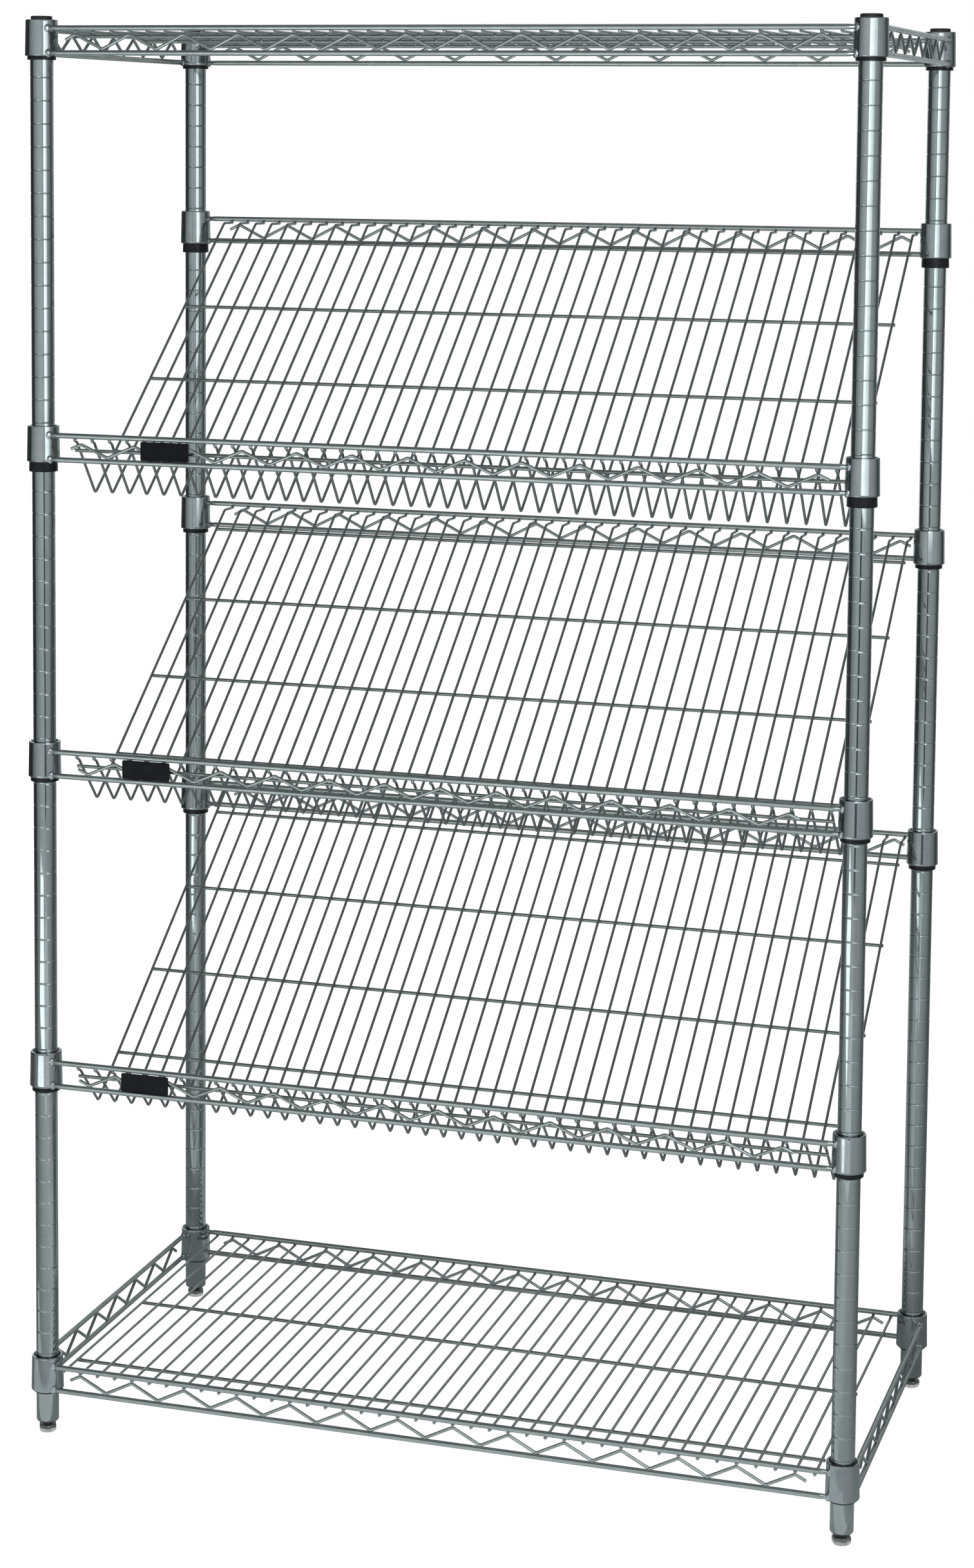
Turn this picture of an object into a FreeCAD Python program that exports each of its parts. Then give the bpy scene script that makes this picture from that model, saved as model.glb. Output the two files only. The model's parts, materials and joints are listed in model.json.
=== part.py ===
# Free-standing wire shelving unit: four grooved posts on levelling feet, a flat wire shelf at
# the top and at the bottom, and three slanted wire display shelves between them.
# Origin on the floor midway between the posts, X across the width, front at -Y, Z up.

import FreeCAD, Part
import os
import Sketcher

doc = FreeCAD.newDocument("slanted_wire_shelving")
sheet = doc.addObject("Spreadsheet::Sheet", "sizes")

# Driving sizes in millimetres, counts and levels counted in post grooves
driving_sizes = [
    ("round_sides", 12, "sides that stand for a circle; round sizes are across these flats"),
    ("small_sides", 8, "sides that stand for a small circle"),
    ("post_span_x", 920, "post centre to post centre, across"),
    ("post_span_y", 440, "post centre to post centre, front to back"),
    ("post_d", 25.4, "post tube outside"),
    ("post_wall", 1.5, "post tube wall"),
    ("post_lift", 13.5, "lower post end above the floor"),
    ("post_over_crown", 0.5, "upper post end above the top shelf's collars"),
    ("groove_first", 67.6, "lowest groove above the floor"),
    ("groove_pitch", 25.4, "groove to groove"),
    ("groove_wide", 1.8, "groove width at the post surface"),
    ("groove_deep", 0.7, "groove depth"),
    ("cap_d", 23.6, "post cap head"),
    ("cap_h", 3.5, "post cap head height"),
    ("cap_plug_h", 14, "post cap plug inside the tube"),
    ("plug_fit", 0.15, "radial play of a plug in the tube"),
    ("insert_h", 26, "threaded insert in the post end"),
    ("insert_rim_d", 24, "rim of the insert below the post"),
    ("insert_rim_h", 1.2, "height of the insert's rim"),
    ("stem_d", 10.5, "levelling foot stem"),
    ("stem_fit", 0.3, "radial play of the stem in the insert"),
    ("stem_h", 34, "stem above the foot's hexagon"),
    ("hex_d", 21, "foot hexagon across corners"),
    ("hex_h", 8, "foot hexagon height"),
    ("collar_h", 40, "collar height"),
    ("collar_top_d", 35, "collar outside at its top"),
    ("collar_low_d", 36.8, "collar outside at its lower edge"),
    ("bore_top_d", 30, "collar bore at its top"),
    ("bore_low_d", 32, "collar bore at its lower edge"),
    ("collar_over_groove", 22, "collar top above its locking groove"),
    ("crown_over_groove", 12.4, "top shelf's collar top above its locking groove"),
    ("sleeve_h", 42, "sleeve height"),
    ("sleeve_fit", 0.3, "radial play between collar bore and sleeve"),
    ("sleeve_bore_fit", 0.15, "radial play between sleeve and post"),
    ("sleeve_split", 0.5, "gap between the two halves of a sleeve"),
    ("show_top", 4, "sleeve showing below a top shelf collar"),
    ("show_upper", 11, "sleeve showing below an upper shelf collar"),
    ("show_middle", 5, "sleeve showing below a middle shelf collar"),
    ("show_lower", 5.5, "sleeve showing below a lower shelf collar"),
    ("show_bottom", 2, "sleeve showing below a bottom shelf collar"),
    ("rail_d", 6, "rail across flats"),
    ("rail_out", 12, "rail centre outboard of the post centre"),
    ("rail_drop", 9.5, "upper rail centre below the collar top"),
    ("rail_gap", 27, "upper rail centre to lower rail centre"),
    ("weld_gap", 0.1, "rail end to collar surface"),
    ("wire_d", 3, "deck wire across"),
    ("wire_count", 42, "deck wires in a shelf"),
    ("margin_flat", 26.3, "outermost deck wires of a flat shelf from the post centres, on average"),
    ("margin_slanted", 34.2, "outermost deck wires of a slanted shelf, likewise"),
    ("wire_past", 1.5, "deck wire end past the rail centre"),
    ("zig_d", 3.6, "zigzag wire across"),
    ("zig_crests", 14, "crests of a long zigzag"),
    ("zig_margin", 47.5, "outermost crests of a long zigzag from the post centres, on average"),
    ("zig_end", 12, "run of the short end of a zigzag wire"),
    ("side_crests", 7, "crests of a side zigzag"),
    ("side_margin", 48, "first side crest from the post centre"),
    ("rod_d", 4.5, "cross rod across corners"),
    ("rod_past", 1, "cross rod end past the outermost deck wire"),
    ("rod_in", 46, "outer cross rods of a flat shelf, in from the rail"),
    ("rear_grooves", 9, "grooves that a slanted shelf's rear stands higher"),
    ("trough_back", 54, "bend of a slanted deck behind the front rail"),
    ("drop_upper", 69, "bend of the upper slanted deck below its front rail"),
    ("drop_middle", 61.5, "bend of the middle slanted deck, likewise"),
    ("drop_lower", 57, "bend of the lower slanted deck, likewise"),
    ("hook_run", 26, "level hook at the rear end of a slanted deck wire"),
    ("lip_drop", 5, "front crest below the upper rail of a slanted shelf"),
    ("grooves_bottom", 0, "bottom shelf's groove, counted from the lowest"),
    ("grooves_lower", 14, "lower slanted shelf's front groove"),
    ("grooves_middle", 28, "middle slanted shelf's front groove"),
    ("grooves_upper", 42, "upper slanted shelf's front groove"),
    ("grooves_top", 60, "top shelf's groove"),
    ("label_wide", 56.5, "label plate width"),
    ("label_thick", 1.25, "label plate thickness"),
    ("label_corner", 1.5, "label plate corner cut"),
    ("label_fit", 0.1, "label plate edge to rail, and back to zigzag"),
    ("shift_flat", -1.2, "flat shelf's deck wires off the middle, across"),
    ("shift_upper", 9.6, "upper shelf's deck wires off the middle"),
    ("shift_middle", 10.6, "middle shelf's deck wires off the middle"),
    ("shift_lower", 11, "lower shelf's deck wires off the middle"),
    ("zig_shift_flat", -1.2, "long zigzags of a flat shelf off the middle"),
    ("zig_shift_front", 3.6, "upper shelf's front zigzag off the middle"),
    ("zig_shift_turned", 11, "front zigzags that start with a trough, off the middle"),
    ("zig_shift_rear", 6, "upper shelf's rear zigzag off the middle"),
    ("zig_shift_low_rear", 12, "rear zigzags of the middle and lower shelf off the middle"),
    ("label_in_upper", 151.5, "label centre from the left post, upper shelf"),
    ("label_in_middle", 129, "label centre from the left post, middle shelf"),
    ("label_in_lower", 127, "label centre from the left post, lower shelf"),
]
for row, (alias, value, note) in enumerate(driving_sizes, start=1):
    sheet.set(f"A{row}", note)
    sheet.set(f"B{row}", str(value))
    sheet.setAlias(f"B{row}", alias)
doc.recompute()

# Where cross rods lie on a slanted deck, as shares of its run from the bend to the rear hook,
# and on its lip, as a share of the lip from the bend upwards
deck_rod_shares = (0.15, 0.41, 0.68, 0.935)
lip_rod_share = 0.83

# Expressions that several pieces share
half_x = "(sizes.post_span_x / 2)"
half_y = "(sizes.post_span_y / 2)"
rail_y = f"({half_y} + sizes.rail_out)"
rail_x = f"({half_x} + sizes.rail_out)"
rail_r = "(sizes.rail_d / 2)"
wire_r = "(sizes.wire_d / 2)"
rear_rise = "(sizes.rear_grooves * sizes.groove_pitch)"
corners = {"front_left": (-1, -1), "front_right": (1, -1), "rear_left": (-1, 1), "rear_right": (1, 1)}

# Finished pieces by node name
nodes = {}


def value_of(text):
    """Number that an expression has with the present sizes."""
    return float(sheet.evalExpression(text))


def bind(obj, expressions):
    for prop, text in expressions.items():
        obj.setExpression(prop, text)
    return obj


def place(obj, x="0", y="0", z="0"):
    return bind(obj, {"Placement.Base.x": x, "Placement.Base.y": y, "Placement.Base.z": z})


def keep(label, obj):
    """Give a finished piece the label that names its file."""
    obj.Label = label
    nodes[label] = obj
    return obj


def turned(name, profile, x, y, sides="sizes.round_sides"):
    """Faceted round piece on a vertical axis, from a profile of radius and height pairs."""
    sections = []
    for number, (radius, height) in enumerate(profile):
        section = doc.addObject("Part::RegularPolygon", f"{name}_section_{number}")
        bind(section, {"Polygon": sides, "Circumradius": f"{radius} / cos(180 / {sides})"})
        sections.append(place(section, x, y, height))
    loft = doc.addObject("Part::Loft", name)
    loft.Sections = sections
    loft.Solid = True
    loft.Ruled = True
    return loft


def cylinder(name, radius, low, height, x, y, sides="sizes.round_sides"):
    return turned(name, [(radius, low), (radius, f"{low} + {height}")], x, y, sides)


def cut(name, base, tool):
    result = doc.addObject("Part::Cut", name)
    result.Base = base
    result.Tool = tool
    return result


def fuse(name, base, tool):
    result = doc.addObject("Part::Fuse", name)
    result.Base = base
    result.Tool = tool
    return result


def group(name, pieces):
    result = doc.addObject("Part::Compound", name)
    result.Links = pieces
    return result


def level(grooves, over="sizes.collar_over_groove"):
    """Height of a collar's top when it locks in the given groove."""
    return f"(sizes.groove_first + {grooves} * sizes.groove_pitch + {over})"


# Shelves: the front collars' top, the sleeve showing below a collar, and the deck's shift
flat_shelves = ("top_shelf", "bottom_shelf")
slanted_shelves = ("upper_shelf", "middle_shelf", "lower_shelf")
front_tops = {
    "top_shelf": level("sizes.grooves_top", "sizes.crown_over_groove"),
    "upper_shelf": level("sizes.grooves_upper"),
    "middle_shelf": level("sizes.grooves_middle"),
    "lower_shelf": level("sizes.grooves_lower"),
    "bottom_shelf": level("sizes.grooves_bottom"),
}


def height_name(shelf):
    """Word that a shelf's own sizes end in."""
    return shelf.removesuffix("_shelf")


def drop_of(shelf):
    return f"sizes.drop_{height_name(shelf)}"


def half_row(shelf):
    """Half the distance between the outermost deck wires."""
    kind = "flat" if shelf in flat_shelves else "slanted"
    return f"({half_x} - sizes.margin_{kind})"


def deck_shift(shelf):
    return "sizes.shift_flat" if shelf in flat_shelves else f"sizes.shift_{height_name(shelf)}"


def corner_tops(shelf):
    """Collar top at each corner of a shelf."""
    top = front_tops[shelf]
    rear_top = top if shelf in flat_shelves else f"({top} + {rear_rise})"
    return {corner: rear_top if side_y > 0 else top for corner, (side_x, side_y) in corners.items()}


# PartDesign helpers
def new_body(name):
    body = doc.addObject("PartDesign::Body", name)
    body.AllowCompound = True
    return body


def origin_part(body, role):
    return next(part for part in body.Origin.OriginFeatures if part.Role == role)


def new_sketch(body, role):
    sketch = body.newObject("Sketcher::SketchObject", f"{body.Name}_sketch")
    sketch.AttachmentSupport = (origin_part(body, role), [""])
    sketch.MapMode = "FlatFace"
    return sketch


def draw_outline(sketch, outline):
    """Closed outline whose corners are pairs of expressions."""
    spots = [FreeCAD.Vector(value_of(x), value_of(y), 0) for x, y in outline]
    count = len(outline)
    first = sketch.GeometryCount
    for i in range(count):
        sketch.addGeometry(Part.LineSegment(spots[i], spots[(i + 1) % count]), False)
    for i in range(count):
        sketch.addConstraint(Sketcher.Constraint("Coincident", first + i, 2, first + (i + 1) % count, 1))
    for i, corner in enumerate(outline):
        for kind, text in zip(("DistanceX", "DistanceY"), corner):
            number = sketch.addConstraint(Sketcher.Constraint(kind, -1, 1, first + i, 1, value_of(text)))
            sketch.setExpression(f"Constraints[{number}]", text)


def pad(body, role, outlines, thickness):
    """Pad outlines by half the thickness to each side of an origin plane."""
    sketch = new_sketch(body, role)
    for outline in outlines:
        draw_outline(sketch, outline)
    feature = body.newObject("PartDesign::Pad", f"{body.Name}_pad")
    feature.Profile = sketch
    feature.Midplane = True
    feature.setExpression("Length", thickness)
    doc.recompute()
    return feature


def repeat(body, feature, role, count, length):
    """Row of copies of a feature along an origin axis."""
    row = body.newObject("PartDesign::LinearPattern", f"{body.Name}_row")
    row.Originals = [feature]
    row.Direction = (origin_part(body, role), [""])
    bind(row, {"Length": length, "Occurrences": count})
    body.Tip = row
    doc.recompute()
    return row


# Posts: tubes with a locking groove at each collar
post_top = f"({front_tops['top_shelf']} + sizes.post_over_crown)"


def locking_grooves(rear):
    rise = " + sizes.rear_grooves" if rear else ""
    slanted = [f"(sizes.grooves_{name}{rise})" for name in ("lower", "middle", "upper")]
    return ["sizes.grooves_bottom", *slanted, "sizes.grooves_top"]


def corner_place(corner):
    side_x, side_y = corners[corner]
    return f"{side_x} * {half_x}", f"{side_y} * {half_y}"


def make_post(corner):
    outer = "(sizes.post_d / 2)"
    inner = f"({outer} - sizes.post_wall)"
    profile = [(outer, "sizes.post_lift")]
    for grooves in locking_grooves(corners[corner][1] > 0):
        middle = f"sizes.groove_first + {grooves} * sizes.groove_pitch"
        profile += [
            (outer, f"{middle} - sizes.groove_wide / 2"),
            (f"({outer} - sizes.groove_deep)", middle),
            (outer, f"{middle} + sizes.groove_wide / 2"),
        ]
    profile.append((outer, post_top))
    x, y = corner_place(corner)
    tube = turned(f"post_{corner}_outside", profile, x, y)
    bore = turned(f"post_{corner}_bore", [(inner, "sizes.post_lift"), (inner, post_top)], x, y)
    keep(f"post_{corner}", cut(f"post_{corner}", tube, bore))


# Post caps: a thin head on the tube's end and a plug inside it
plug_r = "(sizes.post_d / 2 - sizes.post_wall - sizes.plug_fit)"


def make_caps():
    caps = []
    for corner in corners:
        x, y = corner_place(corner)
        head = cylinder(f"cap_head_{corner}", "(sizes.cap_d / 2)", post_top, "sizes.cap_h", x, y)
        low = f"({post_top} - sizes.cap_plug_h)"
        plug = cylinder(f"cap_plug_{corner}", plug_r, low, "sizes.cap_plug_h", x, y)
        caps.append(fuse(f"cap_{corner}", head, plug))
    keep("post_caps", group("post_caps", caps))


# Threaded inserts, pressed into the lower post ends up to a rim, that the feet screw into
def make_inserts():
    rim_low = "(sizes.post_lift - sizes.insert_rim_h)"
    inserts = []
    for corner in corners:
        x, y = corner_place(corner)
        plug = cylinder(f"insert_plug_{corner}", plug_r, "sizes.post_lift", "sizes.insert_h", x, y)
        rim_r, rim_h = "(sizes.insert_rim_d / 2)", "sizes.insert_rim_h"
        rim = cylinder(f"insert_rim_{corner}", rim_r, rim_low, rim_h, x, y, "sizes.small_sides")
        thread_r, thread_h = "(sizes.stem_d / 2 + sizes.stem_fit)", "(sizes.insert_h + sizes.insert_rim_h)"
        thread = cylinder(f"insert_thread_{corner}", thread_r, rim_low, thread_h, x, y, "sizes.small_sides")
        inserts.append(cut(f"insert_{corner}", fuse(f"insert_whole_{corner}", plug, rim), thread))
    keep("foot_inserts", group("foot_inserts", inserts))


# Levelling feet: a hexagon that stands on the floor, and a stem
def make_foot(corner):
    x, y = corner_place(corner)
    hexagon = doc.addObject("Part::Prism", f"foot_hexagon_{corner}")
    bind(hexagon, {"Circumradius": "sizes.hex_d / 2", "Height": "sizes.hex_h"})
    place(hexagon, x, y)
    stem_r = "(sizes.stem_d / 2)"
    name = f"foot_stem_{corner}"
    stem = cylinder(name, stem_r, "sizes.hex_h", "sizes.stem_h", x, y, "sizes.small_sides")
    keep(f"foot_{corner}", fuse(f"foot_{corner}", hexagon, stem))


# Collars: tapered tubes on the corners of a shelf
def make_collars(shelf):
    collars = []
    for corner, top in corner_tops(shelf).items():
        x, y = corner_place(corner)
        low = f"{top} - sizes.collar_h"
        name = f"{shelf}_collar_{corner}"
        tapers = []
        for word in ("collar", "bore"):
            profile = [(f"sizes.{word}_low_d / 2", low), (f"sizes.{word}_top_d / 2", top)]
            tapers.append(turned(f"{name}_{word}", profile, x, y))
        collars.append(cut(name, *tapers))
    keep(f"{shelf}_collars", group(f"{shelf}_collars", collars))


# Sleeves: two tapered halves round the post, wedged in each collar
def make_sleeves(shelf):
    show = f"sizes.show_{height_name(shelf)}"
    taper = "((sizes.bore_low_d - sizes.bore_top_d) / 2 / sizes.collar_h)"
    low_r = f"(sizes.bore_low_d / 2 - sizes.sleeve_fit + {taper} * {show})"
    top_r = f"({low_r} - {taper} * sizes.sleeve_h)"
    bore_r = "(sizes.post_d / 2 + sizes.sleeve_bore_fit)"
    slab = {"Length": "2 * sizes.bore_low_d", "Width": "sizes.sleeve_split", "Height": "sizes.sleeve_h"}
    pairs = []
    for corner, top in corner_tops(shelf).items():
        x, y = corner_place(corner)
        name = f"{shelf}_sleeve_{corner}"
        low = f"({top} - sizes.collar_h - {show})"
        shell = turned(f"{name}_shell", [(low_r, low), (top_r, f"{low} + sizes.sleeve_h")], x, y)
        bore = cylinder(f"{name}_bore", bore_r, low, "sizes.sleeve_h", x, y)
        split = bind(doc.addObject("Part::Box", f"{name}_split"), slab)
        place(split, f"{x} - sizes.bore_low_d", f"{y} - sizes.sleeve_split / 2", low)
        pairs.append(cut(name, cut(f"{name}_whole", shell, bore), split))
    keep(f"{shelf}_sleeves", group(f"{shelf}_sleeves", pairs))


# Rails: hexagonal bars with flats up and down, their ends cut along the collars
def make_bar(name, width, length, along_y, x, y, z):
    """Hexagonal bar, centred on its place."""
    bar = doc.addObject("Part::Prism", name)
    bind(bar, {"Circumradius": f"{width} / 2 / cos(30)", "Height": length})
    flats_up = FreeCAD.Rotation(FreeCAD.Vector(0, 0, 1), 30)
    lay_down = FreeCAD.Rotation(FreeCAD.Vector(0, 1, 0), 90)
    turn = FreeCAD.Rotation(FreeCAD.Vector(0, 0, 1), 90) if along_y else FreeCAD.Rotation()
    bar.Placement.Rotation = turn * lay_down * flats_up
    if along_y:
        return place(bar, x, f"{y} - {length} / 2", z)
    return place(bar, f"{x} - {length} / 2", y, z)


def make_rail(name, along_y, side, top, drop):
    """One rail between two collars, drop below the collar top."""
    collar_r = (f"((sizes.collar_top_d + (sizes.collar_low_d - sizes.collar_top_d)"
                f" * ({drop} + {rail_r}) / sizes.collar_h) / 2 + sizes.weld_gap)")
    height = f"{top} - {drop}"
    if along_y:
        x, y, length = f"{side} * {rail_x}", "0", "sizes.post_span_y"
        ends = [(f"{side} * {half_x}", f"{end} * {half_y}") for end in (-1, 1)]
    else:
        x, y, length = "0", f"{side} * {rail_y}", "sizes.post_span_x"
        ends = [(f"{end} * {half_x}", f"{side} * {half_y}") for end in (-1, 1)]
    bar = make_bar(f"{name}_bar", "sizes.rail_d", length, along_y, x, y, height)
    cutters = []
    for number, (x, y) in enumerate(ends):
        cutter = doc.addObject("Part::Prism", f"{name}_end_{number}")
        cutter.Polygon = 8
        cutter.Placement.Rotation = FreeCAD.Rotation(FreeCAD.Vector(0, 0, 1), 22.5)
        bind(cutter, {"Circumradius": f"{collar_r} / cos(22.5)", "Height": "2 * sizes.rail_d"})
        cutters.append(place(cutter, x, y, f"{height} - sizes.rail_d"))
    return cut(name, bar, group(f"{name}_ends", cutters))


def make_rails(label, along_y, sides_and_tops):
    rails = []
    for side, top in sides_and_tops:
        for number, drop in enumerate(("sizes.rail_drop", "(sizes.rail_drop + sizes.rail_gap)")):
            rails.append(make_rail(f"{label}_{side + 1}_{number}", along_y, side, top, drop))
    keep(label, group(label, rails))


# Zigzag wires of the trusses, one V from crest to crest repeated, with a short end at each side
def make_zigzag(label, role, axis_role, start, pitch, crests, height, z, upright=1):
    """Zigzag from its first crest, or where upright is -1 from a trough on the left to a crest."""
    body = new_body(label)
    run = f"({pitch} / 2)"
    thick = f"(sizes.zig_d * sqrt(1 + (({height} - sizes.zig_d) / {run}) ^ 2))"
    rise = f"({height} - {thick})"
    fall = f"({rise} * sizes.zig_end / {run})"
    last = f"({start} + {pitch} * ({crests} - 1))"
    turn = -upright

    def strip(spots):
        outer = [(x, f"{turn} * {drop}") for x, drop in spots]
        inner = [(x, f"{turn} * ({drop} + {thick})") for x, drop in reversed(spots)]
        return outer + inner

    vee = strip([(start, "0"), (f"{start} + {run}", rise), (f"{start} + {pitch}", "0")])
    if upright > 0:
        right_end = [(last, "0"), (f"{last} + sizes.zig_end", fall)]
    else:
        right_end = [(last, "0"), (f"{last} + {run}", rise),
                     (f"{last} + {run} + sizes.zig_end", f"({rise} - {fall})")]
    ends = [strip([(f"{start} - sizes.zig_end", fall), (start, "0")]), strip(right_end)]
    first = pad(body, role, [vee], "sizes.zig_d")
    repeat(body, first, axis_role, f"{crests} - 1", f"{pitch} * ({crests} - 2)")
    body.Tip = pad(body, role, ends, "sizes.zig_d")
    return bind(body, {"Placement.Base.z": z})


zig_pitch = "((sizes.post_span_x - 2 * sizes.zig_margin) / (sizes.zig_crests - 1))"
side_pitch = "((sizes.post_span_y - 2 * sizes.side_margin) / (sizes.side_crests - 1))"


def make_long_zigzag(label, side, top, drop, shift, upright=1):
    """Zigzag along X under the upper rail, drop below it."""
    height = f"(sizes.rail_gap - sizes.rail_d - {drop})"
    if upright > 0:
        z, crests = f"{top} - sizes.rail_drop - {rail_r} - {drop}", "sizes.zig_crests"
    else:
        z, crests = f"{top} - sizes.rail_drop - sizes.rail_gap + {rail_r}", "(sizes.zig_crests - 1)"
    start = f"(sizes.zig_margin - {half_x} + {shift})"
    body = make_zigzag(label, "XZ_Plane", "X_Axis", start, zig_pitch, crests, height, z, upright)
    return bind(body, {"Placement.Base.y": f"{side} * {rail_y}"})


def make_side_zigzag(label, side, top):
    height = "(sizes.rail_gap - sizes.rail_d)"
    z = f"{top} - sizes.rail_drop - {rail_r}"
    start = f"(sizes.side_margin - {half_y})"
    body = make_zigzag(label, "YZ_Plane", "Y_Axis", start, side_pitch, "sizes.side_crests", height, z)
    return bind(body, {"Placement.Base.x": f"{side} * {rail_x}"})


# Flat decks: straight wires under the rails, on three cross rods
def make_flat_deck(shelf, top):
    body = new_body(f"{shelf}_deck_wires")
    reach = f"({rail_y} + sizes.wire_past)"
    upper = f"(-sizes.rail_drop - {rail_r})"
    lower = f"({upper} - sizes.wire_d)"
    outline = [(f"-{reach}", lower), (reach, lower), (reach, upper), (f"-{reach}", upper)]
    first = pad(body, "YZ_Plane", [outline], "sizes.wire_d")
    repeat(body, first, "X_Axis", "sizes.wire_count", f"2 * {half_row(shelf)}")
    place(body, f"{deck_shift(shelf)} - {half_row(shelf)}", "0", top)
    keep(f"{shelf}_deck_wires", body)


rod_flat_d = "(sizes.rod_d * cos(30))"


def rod_length(shelf):
    return f"(2 * ({half_row(shelf)} + {wire_r} + sizes.rod_past))"


def make_flat_rods(shelf, top):
    height = f"{top} - sizes.rail_drop - {rail_r} - sizes.wire_d - {rod_flat_d} / 2"
    spots = (f"-({rail_y} - sizes.rod_in)", "0", f"({rail_y} - sizes.rod_in)")
    x = deck_shift(shelf)
    rods = [make_bar(f"{shelf}_rod_{number}", rod_flat_d, rod_length(shelf), False, x, y, height)
            for number, y in enumerate(spots)]
    keep(f"{shelf}_cross_rods", group(f"{shelf}_cross_rods", rods))


# Slanted decks: each wire hangs from the rear rail by a level hook, runs down to the bend and
# turns up as a lip to the front rail. Places are Y and Z from the front upper rail's height.
lip_end = (f"(-{rail_y})", f"(-{rail_r})")
hook = (f"({rail_y} - sizes.hook_run)", f"({rear_rise} - {rail_r} - {wire_r})")
hook_end = (f"({rail_y} + sizes.wire_past)", hook[1])
level_slope = "0 deg"


def bend_of(shelf):
    """The bend, and the slopes of the lip and the deck that meet there."""
    bend = (f"(sizes.trough_back - {rail_y})", f"(-{drop_of(shelf)})")
    lip_slope = f"(-atan(({lip_end[1]} - {bend[1]}) / sizes.trough_back))"
    deck_slope = f"atan(({hook[1]} - {bend[1]}) / ({hook[0]} - {bend[0]}))"
    return bend, lip_slope, deck_slope


def mitred(spot, slope_in, slope_out, side):
    """Edge point of a wire at a bend, where side is 1 above the wire and -1 below it."""
    lean = f"(({slope_in} + {slope_out}) / 2)"
    reach = f"({side} * {wire_r} / cos(({slope_out} - {slope_in}) / 2))"
    return (f"{spot[0]} - {reach} * sin({lean})", f"{spot[1]} + {reach} * cos({lean})")


def make_slanted_deck(shelf, top):
    body = new_body(f"{shelf}_deck_wires")
    bend, lip_slope, deck_slope = bend_of(shelf)
    lip_half = f"({wire_r} / sin(-{lip_slope}))"
    above = [
        (f"{lip_end[0]} + {lip_half}", lip_end[1]),
        mitred(bend, lip_slope, deck_slope, 1),
        mitred(hook, deck_slope, level_slope, 1),
        (hook_end[0], f"{hook_end[1]} + {wire_r}"),
    ]
    below = [
        (f"{lip_end[0]} - {lip_half}", lip_end[1]),
        mitred(bend, lip_slope, deck_slope, -1),
        mitred(hook, deck_slope, level_slope, -1),
        (hook_end[0], f"{hook_end[1]} - {wire_r}"),
    ]
    first = pad(body, "YZ_Plane", [above + below[::-1]], "sizes.wire_d")
    repeat(body, first, "X_Axis", "sizes.wire_count", f"2 * {half_row(shelf)}")
    place(body, f"{deck_shift(shelf)} - {half_row(shelf)}", "0", f"{top} - sizes.rail_drop")
    keep(f"{shelf}_deck_wires", body)


def make_slanted_rods(shelf, top):
    """Cross rods under the deck, and one outside the lip."""
    rods = []
    bend, lip_slope, deck_slope = bend_of(shelf)
    seats = [(bend, hook, share, deck_slope) for share in deck_rod_shares]
    seats.append((bend, lip_end, lip_rod_share, lip_slope))
    for number, (start, end, share, slope) in enumerate(seats):
        off = f"({wire_r} + sizes.rod_d / 2)"
        y = f"{start[0]} + {share} * ({end[0]} - {start[0]}) + {off} * sin({slope})"
        drop = f"{start[1]} + {share} * ({end[1]} - {start[1]}) - {off} * cos({slope})"
        z = f"{top} - sizes.rail_drop + {drop}"
        x = deck_shift(shelf)
        rods.append(make_bar(f"{shelf}_rod_{number}", rod_flat_d, rod_length(shelf), False, x, f"({y})", z))
    keep(f"{shelf}_cross_rods", group(f"{shelf}_cross_rods", rods))


# Label plates: small bare plates between the front rails, in front of the zigzag
def make_label(shelf, top):
    label_in = f"sizes.label_in_{height_name(shelf)}"
    body = new_body(f"{shelf}_label")
    half_wide = "(sizes.label_wide / 2)"
    half_high = "((sizes.rail_gap - sizes.rail_d) / 2 - sizes.label_fit)"
    outline = [(f"-{half_wide}", f"-{half_high}"), (half_wide, f"-{half_high}"),
               (half_wide, half_high), (f"-{half_wide}", half_high)]
    plate = pad(body, "XZ_Plane", [outline], "sizes.label_thick")
    upright_edges = [
        f"Edge{number}" for number, edge in enumerate(plate.Shape.Edges, start=1)
        if abs(edge.Vertexes[0].Y - edge.Vertexes[-1].Y) > plate.Shape.BoundBox.YLength / 2
    ]
    eased = body.newObject("PartDesign::Chamfer", f"{shelf}_label_eased")
    eased.Base = (plate, upright_edges)
    eased.setExpression("Size", "sizes.label_corner")
    body.Tip = eased
    place(body, f"{label_in} - {half_x}",
          f"-({rail_y} + sizes.zig_d / 2 + sizes.label_fit + sizes.label_thick / 2)",
          f"{top} - sizes.rail_drop - sizes.rail_gap / 2")
    keep(f"{shelf}_label", body)


# Making the whole
for corner in corners:
    make_post(corner)
    make_foot(corner)
make_caps()
make_inserts()

for shelf in flat_shelves:
    top = front_tops[shelf]
    make_sleeves(shelf)
    make_collars(shelf)
    make_rails(f"{shelf}_long_rails", False, [(-1, top), (1, top)])
    make_rails(f"{shelf}_side_rails", True, [(-1, top), (1, top)])
    long_pair = [make_long_zigzag(f"{shelf}_zigzag_y{side + 1}", side, top, "sizes.wire_d",
                                  "sizes.zig_shift_flat")
                 for side in (-1, 1)]
    side_pair = [make_side_zigzag(f"{shelf}_zigzag_x{side + 1}", side, top) for side in (-1, 1)]
    keep(f"{shelf}_long_zigzags", group(f"{shelf}_long_zigzags", long_pair))
    keep(f"{shelf}_side_zigzags", group(f"{shelf}_side_zigzags", side_pair))
    make_flat_deck(shelf, top)
    make_flat_rods(shelf, top)

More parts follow.
